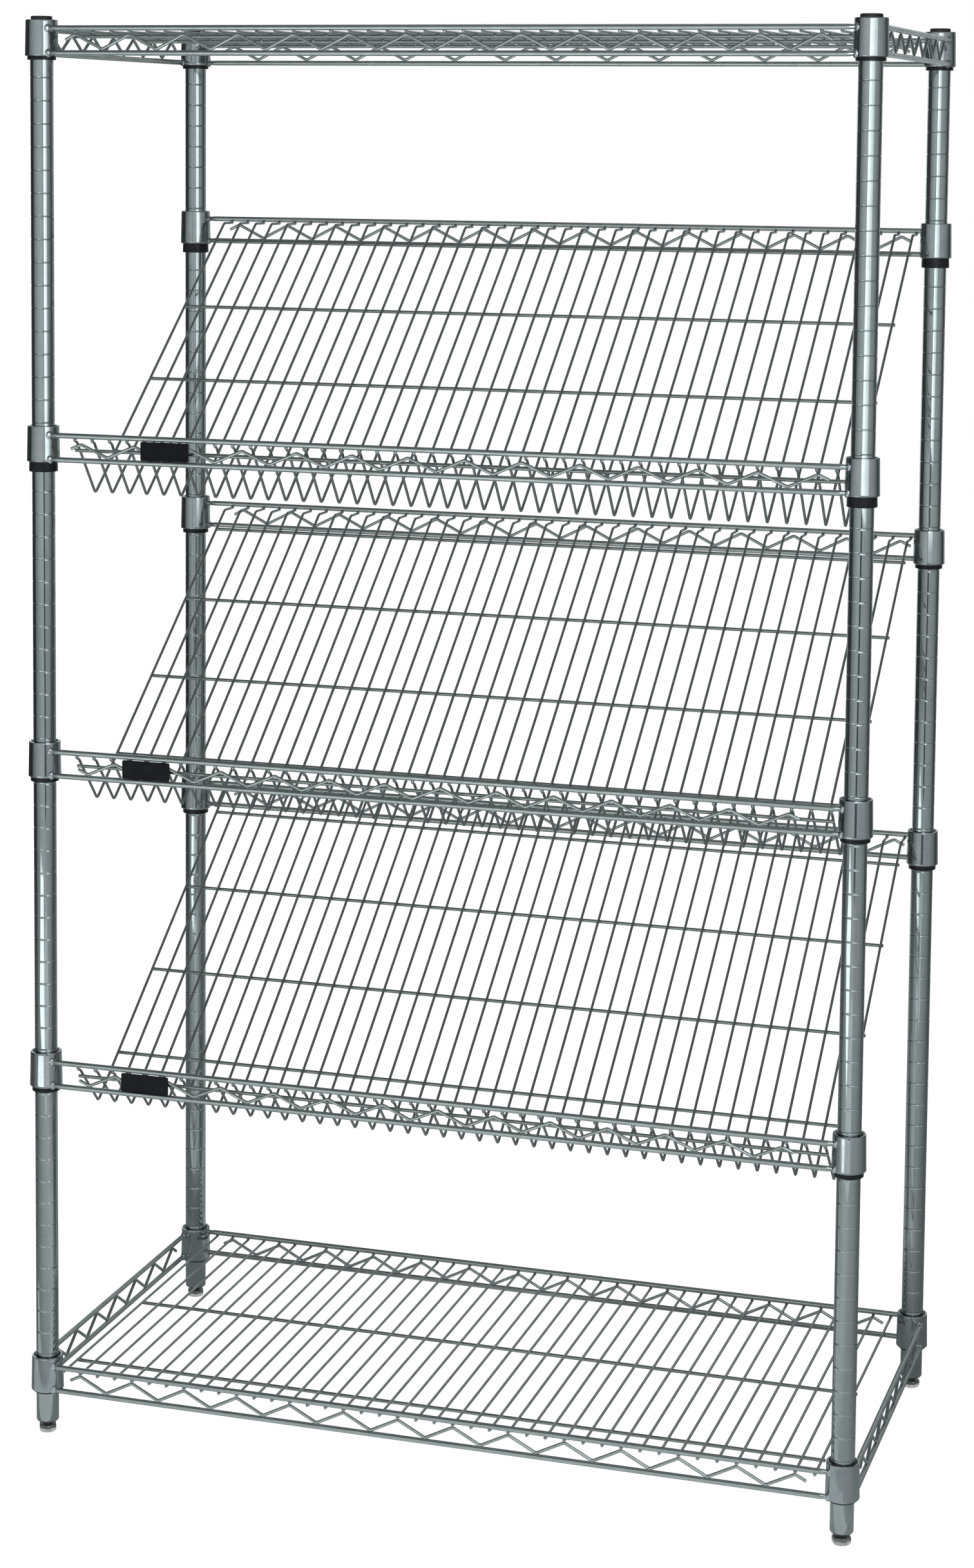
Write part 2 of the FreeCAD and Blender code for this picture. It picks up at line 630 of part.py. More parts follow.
for shelf in slanted_shelves:
    top = front_tops[shelf]
    rear_top = f"({top} + {rear_rise})"
    make_sleeves(shelf)
    make_collars(shelf)
    make_rails(f"{shelf}_front_rails", False, [(-1, top)])
    make_rails(f"{shelf}_rear_rails", False, [(1, rear_top)])
    if shelf == "upper_shelf":
        upright, front_shift, rear_shift = 1, "sizes.zig_shift_front", "sizes.zig_shift_rear"
    else:
        upright, front_shift, rear_shift = -1, "sizes.zig_shift_turned", "sizes.zig_shift_low_rear"
    keep(f"{shelf}_front_zigzag",
         make_long_zigzag(f"{shelf}_front_zigzag", -1, top, "sizes.lip_drop", front_shift, upright))
    keep(f"{shelf}_rear_zigzag",
         make_long_zigzag(f"{shelf}_rear_zigzag", 1, rear_top, "sizes.wire_d", rear_shift))
    make_slanted_deck(shelf, top)
    make_slanted_rods(shelf, top)
    make_label(shelf, top)

doc.recompute()

# Checks before anything is written
failed = [obj.Name for obj in doc.Objects if "Invalid" in obj.State or "Error" in obj.State]
if failed:
    raise RuntimeError(f"objects failed to rebuild: {failed}")
for label, obj in nodes.items():
    if obj.Shape.isNull() or not obj.Shape.isValid() or not obj.Shape.Solids:
        raise RuntimeError(f"{label} has no valid shape")

os.makedirs("parts", exist_ok=True)
for label, obj in nodes.items():
    obj.Shape.exportStep(f"parts/{label}.step")
print(f"{len(nodes)} nodes, {sum(len(obj.Shape.Solids) for obj in nodes.values())} solids")
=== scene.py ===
import json
import math

import bpy
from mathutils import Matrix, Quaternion, Vector, noise


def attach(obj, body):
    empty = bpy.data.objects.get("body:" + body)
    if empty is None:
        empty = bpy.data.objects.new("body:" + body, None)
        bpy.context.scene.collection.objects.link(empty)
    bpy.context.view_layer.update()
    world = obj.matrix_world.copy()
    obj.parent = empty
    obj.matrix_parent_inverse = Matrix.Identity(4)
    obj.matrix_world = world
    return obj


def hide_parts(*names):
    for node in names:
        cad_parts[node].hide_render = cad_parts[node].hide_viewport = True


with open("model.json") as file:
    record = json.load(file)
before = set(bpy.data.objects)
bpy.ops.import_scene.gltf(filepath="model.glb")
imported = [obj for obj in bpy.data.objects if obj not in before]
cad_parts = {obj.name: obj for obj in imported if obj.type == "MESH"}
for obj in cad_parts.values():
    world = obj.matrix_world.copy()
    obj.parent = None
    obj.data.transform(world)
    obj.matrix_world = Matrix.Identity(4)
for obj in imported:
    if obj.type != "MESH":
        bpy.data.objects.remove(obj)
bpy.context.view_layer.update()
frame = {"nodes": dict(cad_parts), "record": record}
print("frame loaded:", len(frame["nodes"]), "nodes")

# Metres everywhere, in the same frame as the CAD: floor at 0, front at -Y
unit = {"halfX": 0.460, "halfY": 0.220, "railOut": 0.012, "groovePitch": 0.0254, "firstGroove": 0.0676}
corners = {"front_left": (-1, -1), "front_right": (1, -1), "rear_left": (-1, 1), "rear_right": (1, 1)}
centres = {corner: (sideX * unit["halfX"], sideY * unit["halfY"]) for corner, (sideX, sideY) in corners.items()}
flatTops = {"top_shelf": 1.6040, "bottom_shelf": 0.0896}  # collar tops
slantedTops = {"upper_shelf": 1.1564, "middle_shelf": 0.8008, "lower_shelf": 0.4452}  # front collar tops
rearRise = 9 * unit["groovePitch"]  # rear collars of a slanted shelf above its front ones
railX, railY = unit["halfX"] + unit["railOut"], unit["halfY"] + unit["railOut"]

bodyOf = {node: body for body, nodes in frame["record"]["behaviour"]["bodies"].items() for node in nodes}


# Shader groups shared by the finishes
def newGroup(name, inputs, outputs):
    group = bpy.data.node_groups.new(name, "ShaderNodeTree")
    for label, kind, value in inputs:
        socket = group.interface.new_socket(name=label, in_out="INPUT", socket_type=kind)
        socket.default_value = value
    for label, kind in outputs:
        group.interface.new_socket(name=label, in_out="OUTPUT", socket_type=kind)
    return group, group.nodes.new("NodeGroupInput"), group.nodes.new("NodeGroupOutput")


def addNode(tree, kind, **settings):
    node = tree.nodes.new(kind)
    for key, value in settings.items():
        setattr(node, key, value)
    return node


def setInputs(node, **values):
    for key, value in values.items():
        node.inputs[key.replace("_", " ")].default_value = value
    return node


def addRayMask(tree):  # 1 for rays from the camera, a reflection or a clear surface, else 0
    path = addNode(tree, "ShaderNodeLightPath")
    first = addNode(tree, "ShaderNodeMath", operation="MAXIMUM")
    second = addNode(tree, "ShaderNodeMath", operation="MAXIMUM")
    tree.links.new(path.outputs["Is Camera Ray"], first.inputs[0])
    tree.links.new(path.outputs["Is Glossy Ray"], first.inputs[1])
    tree.links.new(first.outputs[0], second.inputs[0])
    tree.links.new(path.outputs["Is Transmission Ray"], second.inputs[1])
    return second.outputs[0]


def makeHandlingGroup():  # soft smudges and pale dust, for roughness and colour
    group, entry, out = newGroup(
        "handlingMarks",
        [("Vector", "NodeSocketVector", (0, 0, 0)), ("Scale", "NodeSocketFloat", 40.0),
         ("Low", "NodeSocketFloat", 0.1), ("High", "NodeSocketFloat", 0.2),
         ("Clean", "NodeSocketColor", (0.5, 0.5, 0.5, 1)), ("Worn", "NodeSocketColor", (0.4, 0.4, 0.4, 1))],
        [("Color", "NodeSocketColor"), ("Roughness", "NodeSocketFloat")])
    link = group.links.new
    cloud = setInputs(addNode(group, "ShaderNodeTexNoise"), Detail=4.0, Roughness=0.6)
    fine = setInputs(addNode(group, "ShaderNodeTexNoise"), Detail=3.0, Roughness=0.7)
    finer = addNode(group, "ShaderNodeMath", operation="MULTIPLY")
    finer.inputs[1].default_value = 9.0  # fine noise against the clouds
    both = addNode(group, "ShaderNodeMath", operation="MULTIPLY_ADD")
    both.inputs[1].default_value = 0.45  # share of the fine noise
    link(entry.outputs["Vector"], cloud.inputs["Vector"])
    link(entry.outputs["Scale"], cloud.inputs["Scale"])
    link(entry.outputs["Vector"], fine.inputs["Vector"])
    link(entry.outputs["Scale"], finer.inputs[0])
    link(finer.outputs[0], fine.inputs["Scale"])
    link(fine.outputs["Fac"], both.inputs[0])
    link(cloud.outputs["Fac"], both.inputs[2])
    spread = setInputs(addNode(group, "ShaderNodeMapRange"), From_Min=0.5, From_Max=0.95)
    link(both.outputs[0], spread.inputs["Value"])
    tone = addNode(group, "ShaderNodeMix", data_type="RGBA")
    link(spread.outputs["Result"], tone.inputs["Factor"])
    link(entry.outputs["Clean"], tone.inputs["A"])
    link(entry.outputs["Worn"], tone.inputs["B"])
    rough = addNode(group, "ShaderNodeMapRange")
    link(spread.outputs["Result"], rough.inputs["Value"])
    link(entry.outputs["Low"], rough.inputs["To Min"])
    link(entry.outputs["High"], rough.inputs["To Max"])
    link(tone.outputs["Result"], out.inputs["Color"])
    link(rough.outputs["Result"], out.inputs["Roughness"])
    return group


def makeSurfaceGroup():  # drawing lines along a wire or turning lines round a tube, and fine grain
    group, entry, out = newGroup(
        "drawnSurface",
        [("Vector", "NodeSocketVector", (0, 0, 0)), ("Stretch", "NodeSocketVector", (1, 1, 1)),
         ("Grain", "NodeSocketFloat", 900.0), ("Lines", "NodeSocketFloat", 1.0)],
        [("Height", "NodeSocketFloat")])
    link = group.links.new
    stretched = addNode(group, "ShaderNodeVectorMath", operation="MULTIPLY")
    link(entry.outputs["Vector"], stretched.inputs[0])
    link(entry.outputs["Stretch"], stretched.inputs[1])
    lines = setInputs(addNode(group, "ShaderNodeTexNoise"), Scale=1.0, Detail=3.0, Roughness=0.65)
    link(stretched.outputs[0], lines.inputs["Vector"])
    grain = setInputs(addNode(group, "ShaderNodeTexNoise"), Detail=2.0)
    link(entry.outputs["Vector"], grain.inputs["Vector"])
    link(entry.outputs["Grain"], grain.inputs["Scale"])
    height = addNode(group, "ShaderNodeMath", operation="MULTIPLY_ADD")
    link(lines.outputs["Fac"], height.inputs[0])
    link(entry.outputs["Lines"], height.inputs[1])
    link(grain.outputs["Fac"], height.inputs[2])
    link(height.outputs[0], out.inputs["Height"])
    return group


handlingMarks = makeHandlingGroup()
drawnSurface = makeSurfaceGroup()


def makeFinish(name, look):
    material = bpy.data.materials.new(name)
    material.use_nodes = True
    tree = material.node_tree
    shader = tree.nodes["Principled BSDF"]
    link = tree.links.new
    place = addNode(tree, "ShaderNodeTexCoord")
    marks = addNode(tree, "ShaderNodeGroup", node_tree=handlingMarks)
    setInputs(marks, Scale=look["markScale"], Low=look["rough"][0], High=look["rough"][1],
              Clean=(*look["clean"], 1), Worn=(*look["worn"], 1))
    surface = addNode(tree, "ShaderNodeGroup", node_tree=drawnSurface)
    setInputs(surface, Stretch=look["stretch"], Grain=look["grain"], Lines=look["lines"])
    bump = setInputs(addNode(tree, "ShaderNodeBump"), Strength=look["bump"], Distance=look["depth"])
    link(place.outputs["Object"], marks.inputs["Vector"])
    link(place.outputs["Object"], surface.inputs["Vector"])
    link(marks.outputs["Color"], shader.inputs["Base Color"])
    link(marks.outputs["Roughness"], shader.inputs["Roughness"])
    link(surface.outputs["Height"], bump.inputs["Height"])
    link(bump.outputs["Normal"], shader.inputs["Normal"])
    for socket, value in look["shader"].items():
        shader.inputs[socket].default_value = value
    return material


postLook = {"clean": (0.56, 0.58, 0.58), "worn": (0.47, 0.50, 0.50), "rough": (0.025, 0.07), "markScale": 35.0,
            "stretch": (500.0, 500.0, 6.0), "grain": 1500.0, "lines": 1.0, "bump": 0.02, "depth": 0.00008,
            "shader": {"Metallic": 1.0}}
collarLook = {"clean": (0.56, 0.57, 0.58), "worn": (0.45, 0.47, 0.48), "rough": (0.06, 0.14), "markScale": 55.0,
              "stretch": (300.0, 300.0, 60.0), "grain": 1100.0, "lines": 0.6, "bump": 0.03, "depth": 0.0001,
              "shader": {"Metallic": 1.0}}
railLook = {"clean": (0.64, 0.655, 0.65), "worn": (0.52, 0.54, 0.535), "rough": (0.17, 0.27), "markScale": 70.0,
            "stretch": (40.0, 700.0, 700.0), "grain": 1300.0, "lines": 0.8, "bump": 0.015, "depth": 0.00006,
            "shader": {"Metallic": 1.0}}
deckLook = {"clean": (0.49, 0.51, 0.495), "worn": (0.38, 0.40, 0.385), "rough": (0.16, 0.28), "markScale": 60.0,
            "stretch": (900.0, 40.0, 40.0), "grain": 1500.0, "lines": 0.8, "bump": 0.03, "depth": 0.0001,
            "shader": {"Metallic": 1.0}}
weldLook = {"clean": (0.78, 0.79, 0.80), "worn": (0.52, 0.54, 0.55), "rough": (0.10, 0.24), "markScale": 160.0,
            "stretch": (200.0, 200.0, 200.0), "grain": 900.0, "lines": 1.0, "bump": 0.10, "depth": 0.0003,
            "shader": {"Metallic": 1.0}}
sleeveLook = {"clean": (0.006, 0.006, 0.007), "worn": (0.012, 0.012, 0.013), "rough": (0.22, 0.34),
              "markScale": 60.0, "stretch": (60.0, 60.0, 900.0), "grain": 1800.0, "lines": 0.5, "bump": 0.12,
              "depth": 0.0003, "shader": {"Metallic": 0.0, "Specular IOR Level": 0.28}}
capLook = {"clean": (0.010, 0.010, 0.011), "worn": (0.022, 0.022, 0.023), "rough": (0.34, 0.50),
           "markScale": 90.0, "stretch": (400.0, 400.0, 400.0), "grain": 2200.0, "lines": 0.6, "bump": 0.20,
           "depth": 0.0003, "shader": {"Metallic": 0.0, "Specular IOR Level": 0.4}}
labelLook = {"clean": (0.003, 0.003, 0.004), "worn": (0.006, 0.006, 0.007), "rough": (0.24, 0.34),
             "markScale": 70.0, "stretch": (350.0, 350.0, 350.0), "grain": 2600.0, "lines": 0.4, "bump": 0.04,
             "depth": 0.0001, "shader": {"Metallic": 0.0, "Specular IOR Level": 0.16}}
footLook = {"clean": (0.48, 0.50, 0.47), "worn": (0.26, 0.27, 0.25), "rough": (0.28, 0.46), "markScale": 180.0,
            "stretch": (250.0, 250.0, 1500.0), "grain": 1400.0, "lines": 0.8, "bump": 0.18, "depth": 0.0004,
            "shader": {"Metallic": 1.0}}

postChrome = makeFinish("postChrome", postLook)
collarChrome = makeFinish("collarChrome", collarLook)
railChrome = makeFinish("railChrome", railLook)
deckChrome = makeFinish("deckChrome", deckLook)
weldMetal = makeFinish("weldMetal", weldLook)
sleevePlastic = makeFinish("sleevePlastic", sleeveLook)
capPlastic = makeFinish("capPlastic", capLook)
labelPlastic = makeFinish("labelPlastic", labelLook)
footZinc = makeFinish("footZinc", footLook)
print("finishes made")


# Mesh tools
class Shape:
    def __init__(self):
        self.verts, self.faces, self.marks = [], [], []

    def add(self, verts, faces, mark=0):
        start = len(self.verts)
        self.verts += [tuple(v) for v in verts]
        self.faces += [tuple(start + i for i in face) for face in faces]
        self.marks += [mark] * len(faces)

    def addRings(self, rings, closed=False):  # quads between rings, and an end face where they stay open
        count = len(rings[0])
        faces = []
        for j in range(len(rings) if closed else len(rings) - 1):
            a, b = j * count, (j + 1) % len(rings) * count
            faces += [(a + i, a + (i + 1) % count, b + (i + 1) % count, b + i) for i in range(count)]
        if not closed:
            last = (len(rings) - 1) * count
            faces += [tuple(range(count))[::-1], tuple(range(last, last + count))]
        self.add([v for ring in rings for v in ring], faces)


def makePiece(shape, materials, node, sharpDegrees=40):  # top_shelf_collars is named topShelfCollars
    first, *others = node.split("_")
    name = first + "".join(word.title() for word in others)
    mesh = bpy.data.meshes.new(name)
    mesh.from_pydata(shape.verts, [], shape.faces)
    mesh.polygons.foreach_set("material_index", shape.marks)
    mesh.polygons.foreach_set("use_smooth", [True] * len(shape.faces))
    for material in materials:
        mesh.materials.append(material)
    mesh.validate()
    mesh.set_sharp_from_angle(angle=math.radians(sharpDegrees))
    piece = bpy.data.objects.new(name, mesh)
    bpy.context.scene.collection.objects.link(piece)
    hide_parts(node)
    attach(piece, bodyOf[node])


def roundCorners(points, radii, steps):  # arcs instead of a line's inner corners
    points = [Vector(p) for p in points]
    line = [points[0]]
    for before, spot, after, radius in zip(points, points[1:], points[2:], radii):
        a, b = (before - spot).normalized(), (after - spot).normalized()
        half = a.angle(b) / 2
        reach = radius / math.tan(half)
        centre = spot + (a + b).normalized() * radius / math.sin(half)
        start, axis = spot + a * reach - centre, (a * -1).cross(b)
        for i in range(steps + 1):
            turn = Quaternion(axis, (math.pi - 2 * half) * i / steps)
            line.append(centre + turn @ start)
    return line + [points[-1]]


cutEase = 0.18  # eased edge of a cut wire end, against the wire's radius


def sweepRings(line, side, radii, sides):  # round wire in a plane whose normal is side
    line = [Vector(p) for p in line]
    if not isinstance(radii, (list, tuple)):
        radii = [radii] * len(line)
    side = Vector(side)
    rings = []
    for i, spot in enumerate(line):
        ahead = (line[i + 1] - spot).normalized() if i + 1 < len(line) else Vector((0, 0, 0))
        behind = (spot - line[i - 1]).normalized() if i else Vector((0, 0, 0))
        along = (ahead + behind).normalized()
        across = along.cross(side).normalized()
        spots = [(spot, radii[i])]
        if i == 0:  # cut ends with eased edges
            spots = [(spot, radii[i] * (1 - cutEase)), (spot + along * radii[i] * cutEase, radii[i])]
        if i + 1 == len(line):
            spots = [(spot - along * radii[i] * cutEase, radii[i]), (spot, radii[i] * (1 - cutEase))]
        for middle, radius in spots:
            rings.append([middle + (side * math.cos(2 * math.pi * k / sides)
                                    + across * math.sin(2 * math.pi * k / sides)) * radius
                          for k in range(sides)])
    return rings


def circle(centre, radius, z, count):
    angles = [math.radians(360 / count * k) for k in range(count)]
    return [(centre[0] + radius * math.cos(a), centre[1] + radius * math.sin(a), z) for a in angles]


def turnProfile(shape, profile, centre, segments, start=0.0, sweep=360.0):
    # closed profile of radius and height turned round an upright axis
    full = sweep >= 360
    count = segments if full else segments + 1
    rings = []
    for i in range(count):
        angle = math.radians(start + sweep * i / segments)
        rings.append([(centre[0] + r * math.cos(angle), centre[1] + r * math.sin(angle), z) for r, z in profile])
    shape.addRings(rings, closed=full)


# Welds: reach in degrees from the top, mark for the piece's second material, sizes along, across and high
weld = {"reach": 100.0, "lump": 0.16, "lumpScale": 1.9, "sunk": 0.0004, "mark": 1,
        "railEnd": (0.0048, 0.0043, 0.0026), "atRail": (0.0026, 0.0021, 0.0016),
        "atRod": (0.0022, 0.0019, 0.0016), "atSlantedRod": (0.0022, 0.0019, 0.0017)}


def weldBead(shape, spot, outward, along, size, seed, rows=7, columns=12):  # lumpy bead on a surface
    spot, outward = Vector(spot), Vector(outward).normalized()
    along = Vector(along)
    along = (along - outward * along.dot(outward)).normalized()
    across = outward.cross(along)
    verts, faces = [spot + outward * size[2]], []
    for j in range(1, rows + 1):
        lean = math.radians(weld["reach"]) * j / rows
        for k in range(columns):
            turn = 2 * math.pi * k / columns
            point = Vector((math.sin(lean) * math.cos(turn), math.sin(lean) * math.sin(turn), math.cos(lean)))
            place = point * weld["lumpScale"] + Vector((seed * 3.7, seed * 1.3, seed))
            lump = 1 + weld["lump"] * noise.noise(place)
            verts.append(spot + (along * point.x * size[0] + across * point.y * size[1]
                                 + outward * point.z * size[2]) * lump)
    faces += [(0, 1 + k, 1 + (k + 1) % columns) for k in range(columns)]
    for j in range(rows - 1):
        a, b = 1 + j * columns, 1 + (j + 1) * columns
        faces += [(a + k, b + k, b + (k + 1) % columns, a + (k + 1) % columns) for k in range(columns)]
    last = 1 + (rows - 1) * columns
    faces.append(tuple(last + k for k in range(columns))[::-1])
    shape.add(verts, faces, weld["mark"])


# Posts: chrome tubes with a rolled groove every inch
post = {"radius": 0.0127, "wall": 0.0015, "low": 0.0135, "top": 1.6045, "edge": 0.0004, "segments": 48,
        "plainTop": 0.004, "sharpDegrees": 70,
        "groove": ((-0.0014, 0.0), (-0.0008, 0.0), (-0.0005, -0.00012), (-0.00015, -0.00035), (0.00015, -0.00035),
                   (0.0005, -0.00012), (0.0008, 0.0), (0.0014, 0.0))}


def makePost(corner):
    outer, low, top, edge = (post[key] for key in ("radius", "low", "top", "edge"))
    inner = outer - post["wall"]
    profile = [(inner, low), (outer - edge, low), (outer - edge * 0.3, low + edge * 0.3), (outer, low + edge),
               (outer, low + 3 * edge)]
    middle = unit["firstGroove"]
    while middle < top - post["plainTop"]:
        profile += [(outer + drop, middle + rise) for rise, drop in post["groove"]]
        middle += unit["groovePitch"]
    profile += [(outer, top - 3 * edge), (outer, top - edge), (outer - edge * 0.3, top - edge * 0.3),
                (outer - edge, top), (inner, top)]
    shape = Shape()
    turnProfile(shape, profile, centres[corner], post["segments"])
    makePiece(shape, [postChrome], f"post_{corner}", post["sharpDegrees"])


for corner in corners:
    makePost(corner)
print("posts made")


# Caps, inserts and feet
cap = {"radius": 0.0118, "height": 0.0035, "plugRadius": 0.01105, "plugDepth": 0.014, "plugEase": 0.001,
       "round": 0.0012, "dish": 0.0004, "dishShares": (0.62, 0.55), "tip": 0.0002, "segments": 48,
       "arc": ((0.0, 1.0), (0.08, 0.62), (0.29, 0.29), (0.62, 0.08), (1.0, 0.0))}  # shares inwards and down
insert = {"radius": 0.01105, "height": 0.026, "bore": 0.00555, "boreEase": 0.0005, "rimRadius": 0.0119,
          "rimHeight": 0.0012, "rimEase": 0.0006, "rimBevel": (0.00015, 0.0002), "segments": 48}
# edges of the foot's hexagon: height from its face and share of the width across corners
foot = {"across": 0.0210, "height": 0.008, "stem": 0.00525, "stemTop": 0.042, "threadPitch": 0.0015,
        "threadDepth": 0.0006, "threadLow": 0.0002, "threadHigh": 0.0001, "neckEase": 0.0006, "tipEase": 0.001,
        "tipHeight": 0.0002, "segments": 72, "sharpDegrees": 24,
        "lowEdge": ((0.0, 0.86), (0.0004, 0.90), (0.0012, 0.955), (0.0020, 1.0)),
        "highEdge": ((0.0020, 1.0), (0.0012, 0.955), (0.0004, 0.90), (0.0, 0.84))}


def makeCaps():
    shape = Shape()
    top = post["top"]
    for centre in centres.values():
        head, high, low = cap["radius"], top + cap["height"], top - cap["plugDepth"]
        plug, ease, tip = cap["plugRadius"], cap["plugEase"], cap["tip"]
        rim, bowl = (head * share for share in cap["dishShares"])
        profile = [(tip, low), (plug - ease, low), (plug, low + ease), (plug, top), (head, top)]
        profile += [(head - cap["round"] * inwards, high - cap["round"] * down) for inwards, down in cap["arc"]]
        profile += [(rim, high), (bowl, high - cap["dish"]), (tip, high - cap["dish"])]
        shape.addRings([circle(centre, r, z, cap["segments"]) for r, z in profile])
    makePiece(shape, [capPlastic], "post_caps")


def makeInserts():
    shape = Shape()
    low = post["low"]
    for centre in centres.values():
        outer, bore, rim, under = insert["radius"], insert["bore"], insert["rimRadius"], low - insert["rimHeight"]
        ease, rimEase, (bevelIn, bevelUp) = insert["boreEase"], insert["rimEase"], insert["rimBevel"]
        profile = [(bore, low + insert["height"]), (bore, under + ease), (bore + ease, under),
                   (rim - rimEase, under), (rim - bevelIn, under + bevelUp), (rim, under + rimEase), (rim, low),
                   (outer, low), (outer, low + insert["height"])]
        turnProfile(shape, profile, centre, insert["segments"])
    makePiece(shape, [capPlastic], "foot_inserts")


def makeFoot(corner):
    apothem = foot["across"] / 2 * math.cos(math.radians(30))
    high, full = foot["height"], foot["across"] / 2
    x, y = centres[corner]
    levels = list(foot["lowEdge"]) + [(high - down, share) for down, share in foot["highEdge"]]
    rings = []
    for z, share in levels:
        ring = []
        for k in range(foot["segments"]):
            angle = 360 / foot["segments"] * k
            flat = apothem / math.cos(math.radians(angle % 60 - 30))
            radius = min(flat, full * share)
            ring.append((x + radius * math.cos(math.radians(angle)), y + radius * math.sin(math.radians(angle)), z))
        rings.append(ring)
    neck, pitch, z = foot["stem"], foot["threadPitch"], high + foot["neckEase"]
    profile = [(neck + foot["neckEase"], high), (neck, z)]
    while z < foot["stemTop"] - pitch:  # thread ridges
        profile += [(neck, z + foot["threadLow"]), (neck - foot["threadDepth"], z + pitch / 2),
                    (neck, z + pitch - foot["threadHigh"])]
        z += pitch
    profile.append((neck - foot["tipEase"], foot["stemTop"] - foot["tipHeight"]))
    rings += [circle(centres[corner], r, z, foot["segments"]) for r, z in profile]
    shape = Shape()
    shape.addRings(rings)
    makePiece(shape, [footZinc], f"foot_{corner}", foot["sharpDegrees"])


makeCaps()
makeInserts()
for corner in corners:
    makeFoot(corner)
print("caps, inserts and feet made")


# Collars with welded rail ends, and the split sleeves that they wedge on
collar = {"height": 0.040, "topRadius": 0.0175, "lowRadius": 0.0184, "boreTop": 0.0150, "boreLow": 0.0160,
          "lip": 0.0007, "swell": 0.0001, "segments": 64}
sleeve = {"height": 0.042, "fit": 0.0003, "bore": 0.01285, "ease": 0.0005, "easeDip": 0.00002,
          "halfStarts": (1.0, 181.0), "halfSweep": 178.0, "segments": 28,
          "shows": {"top_shelf": 0.004, "upper_shelf": 0.011, "middle_shelf": 0.005, "lower_shelf": 0.0055,
                    "bottom_shelf": 0.002}}
rail = {"radius": 0.0030, "drop": 0.0095, "gap": 0.0270, "neck": 0.0023, "neckRun": 0.007, "sides": 20,
        "inCollar": 0.0006, "endDip": 0.0007, "swellShare": 0.92}
allTops = {**flatTops, **slantedTops}


def collarTops(shelf):
    rise = rearRise if shelf in slantedTops else 0.0
    return {corner: allTops[shelf] + (rise if sideY > 0 else 0.0) for corner, (_, sideY) in corners.items()}


def collarRadius(drop):  # outside radius at a depth below the collar's top
    return collar["topRadius"] + (collar["lowRadius"] - collar["topRadius"]) * drop / collar["height"]


def makeCollars(shelf):
    shape = Shape()
    lip = collar["lip"]
    for number, (corner, top) in enumerate(collarTops(shelf).items()):
        sideX, sideY = corners[corner]
        x, y = centres[corner]
        low = top - collar["height"]
        outTop, outLow = collar["topRadius"], collar["lowRadius"]
        profile = [(collar["boreTop"], top - lip * 0.6), (collar["boreTop"] + lip * 0.4, top - lip * 0.1),
                   (collar["boreTop"] + lip, top), (outTop - lip, top), (outTop - lip * 0.3, top - lip * 0.2),
                   (outTop, top - lip), (outTop + collar["swell"], top - 3 * lip),
                   (outLow - collar["swell"], low + 4 * lip), (outLow, low + 2.2 * lip),
                   (outLow - 0.35 * lip, low + lip), (outLow - 1.1 * lip, low + 0.3 * lip),
                   (outLow - 2 * lip, low), (collar["boreLow"], low),
                   (collar["boreLow"] - collar["swell"], low + lip)]
        turnProfile(shape, profile, (x, y), collar["segments"])
        for drop in (rail["drop"], rail["drop"] + rail["gap"]):
            out = unit["railOut"]
            inward = math.sqrt(collarRadius(drop) ** 2 - out ** 2)
            ways = [(-sideX * inward, sideY * out)]  # to the long rail, and on flat shelves to the side rail
            if shelf in flatTops:
                ways.append((sideX * out, -sideY * inward))
            for turn, (offX, offY) in enumerate(ways):
                outward = Vector((offX, offY, 0))
                spot = Vector((x, y, top - drop)) + outward - outward.normalized() * weld["sunk"]
                weldBead(shape, spot, outward, (0, 0, 1), weld["railEnd"], number * 7 + drop * 900 + turn * 3)
    makePiece(shape, [collarChrome, weldMetal], f"{shelf}_collars")


def makeSleeves(shelf):
    shape = Shape()
    show, ease, dip = sleeve["shows"][shelf], sleeve["ease"], sleeve["easeDip"]
    taper = (collar["boreLow"] - collar["boreTop"]) / collar["height"]
    for corner, top in collarTops(shelf).items():
        low = top - collar["height"] - show
        high = low + sleeve["height"]
        lowRadius = collar["boreLow"] - sleeve["fit"] + taper * show
        highRadius = lowRadius - taper * sleeve["height"]
        profile = [(sleeve["bore"], low), (lowRadius - ease, low), (lowRadius - ease * 0.2, low + ease * 0.4),
                   (lowRadius - dip, low + ease * 1.6), (highRadius + dip, high - ease * 1.6),
                   (highRadius - ease * 0.2, high - ease * 0.4), (highRadius - ease, high), (sleeve["bore"], high)]
        for start in sleeve["halfStarts"]:
            turnProfile(shape, profile, centres[corner], sleeve["segments"], start, sleeve["halfSweep"])
    makePiece(shape, [sleevePlastic], f"{shelf}_sleeves")


for shelf in allTops:
    makeCollars(shelf)
    makeSleeves(shelf)
print("collars and sleeves made")


# Rails: round bars whose ends neck down into the welds
def addRail(shape, alongX, side, top, drop):
    radius = collarRadius(drop)
    inward = math.sqrt(radius ** 2 - unit["railOut"] ** 2) - rail["inCollar"]
    half = (unit["halfX"] if alongX else unit["halfY"]) - inward
    height, run, neck, full = top - drop, rail["neckRun"], rail["neck"], rail["radius"]
    stations = [(-half, neck), (-half + run * 0.35, neck), (-half + run * 0.75, full * rail["swellShare"]),
                (-half + run * 1.2, full), (-half + run * 1.6, full)]
    stations += [(-t, r) for t, r in reversed(stations)]
    line, radii = [], []
    for t, r in stations:
        lean = min(1.0, max(0.0, (abs(t) - half + run * 1.2) / run))
        dip = rail["endDip"] * lean  # ends lean in to the collar
        if alongX:
            line.append((t, side * (railY - dip), height))
        else:
            line.append((side * (railX - dip), t, height))
        radii.append(r)
    shape.addRings(sweepRings(line, (0, 0, 1), radii, rail["sides"]))


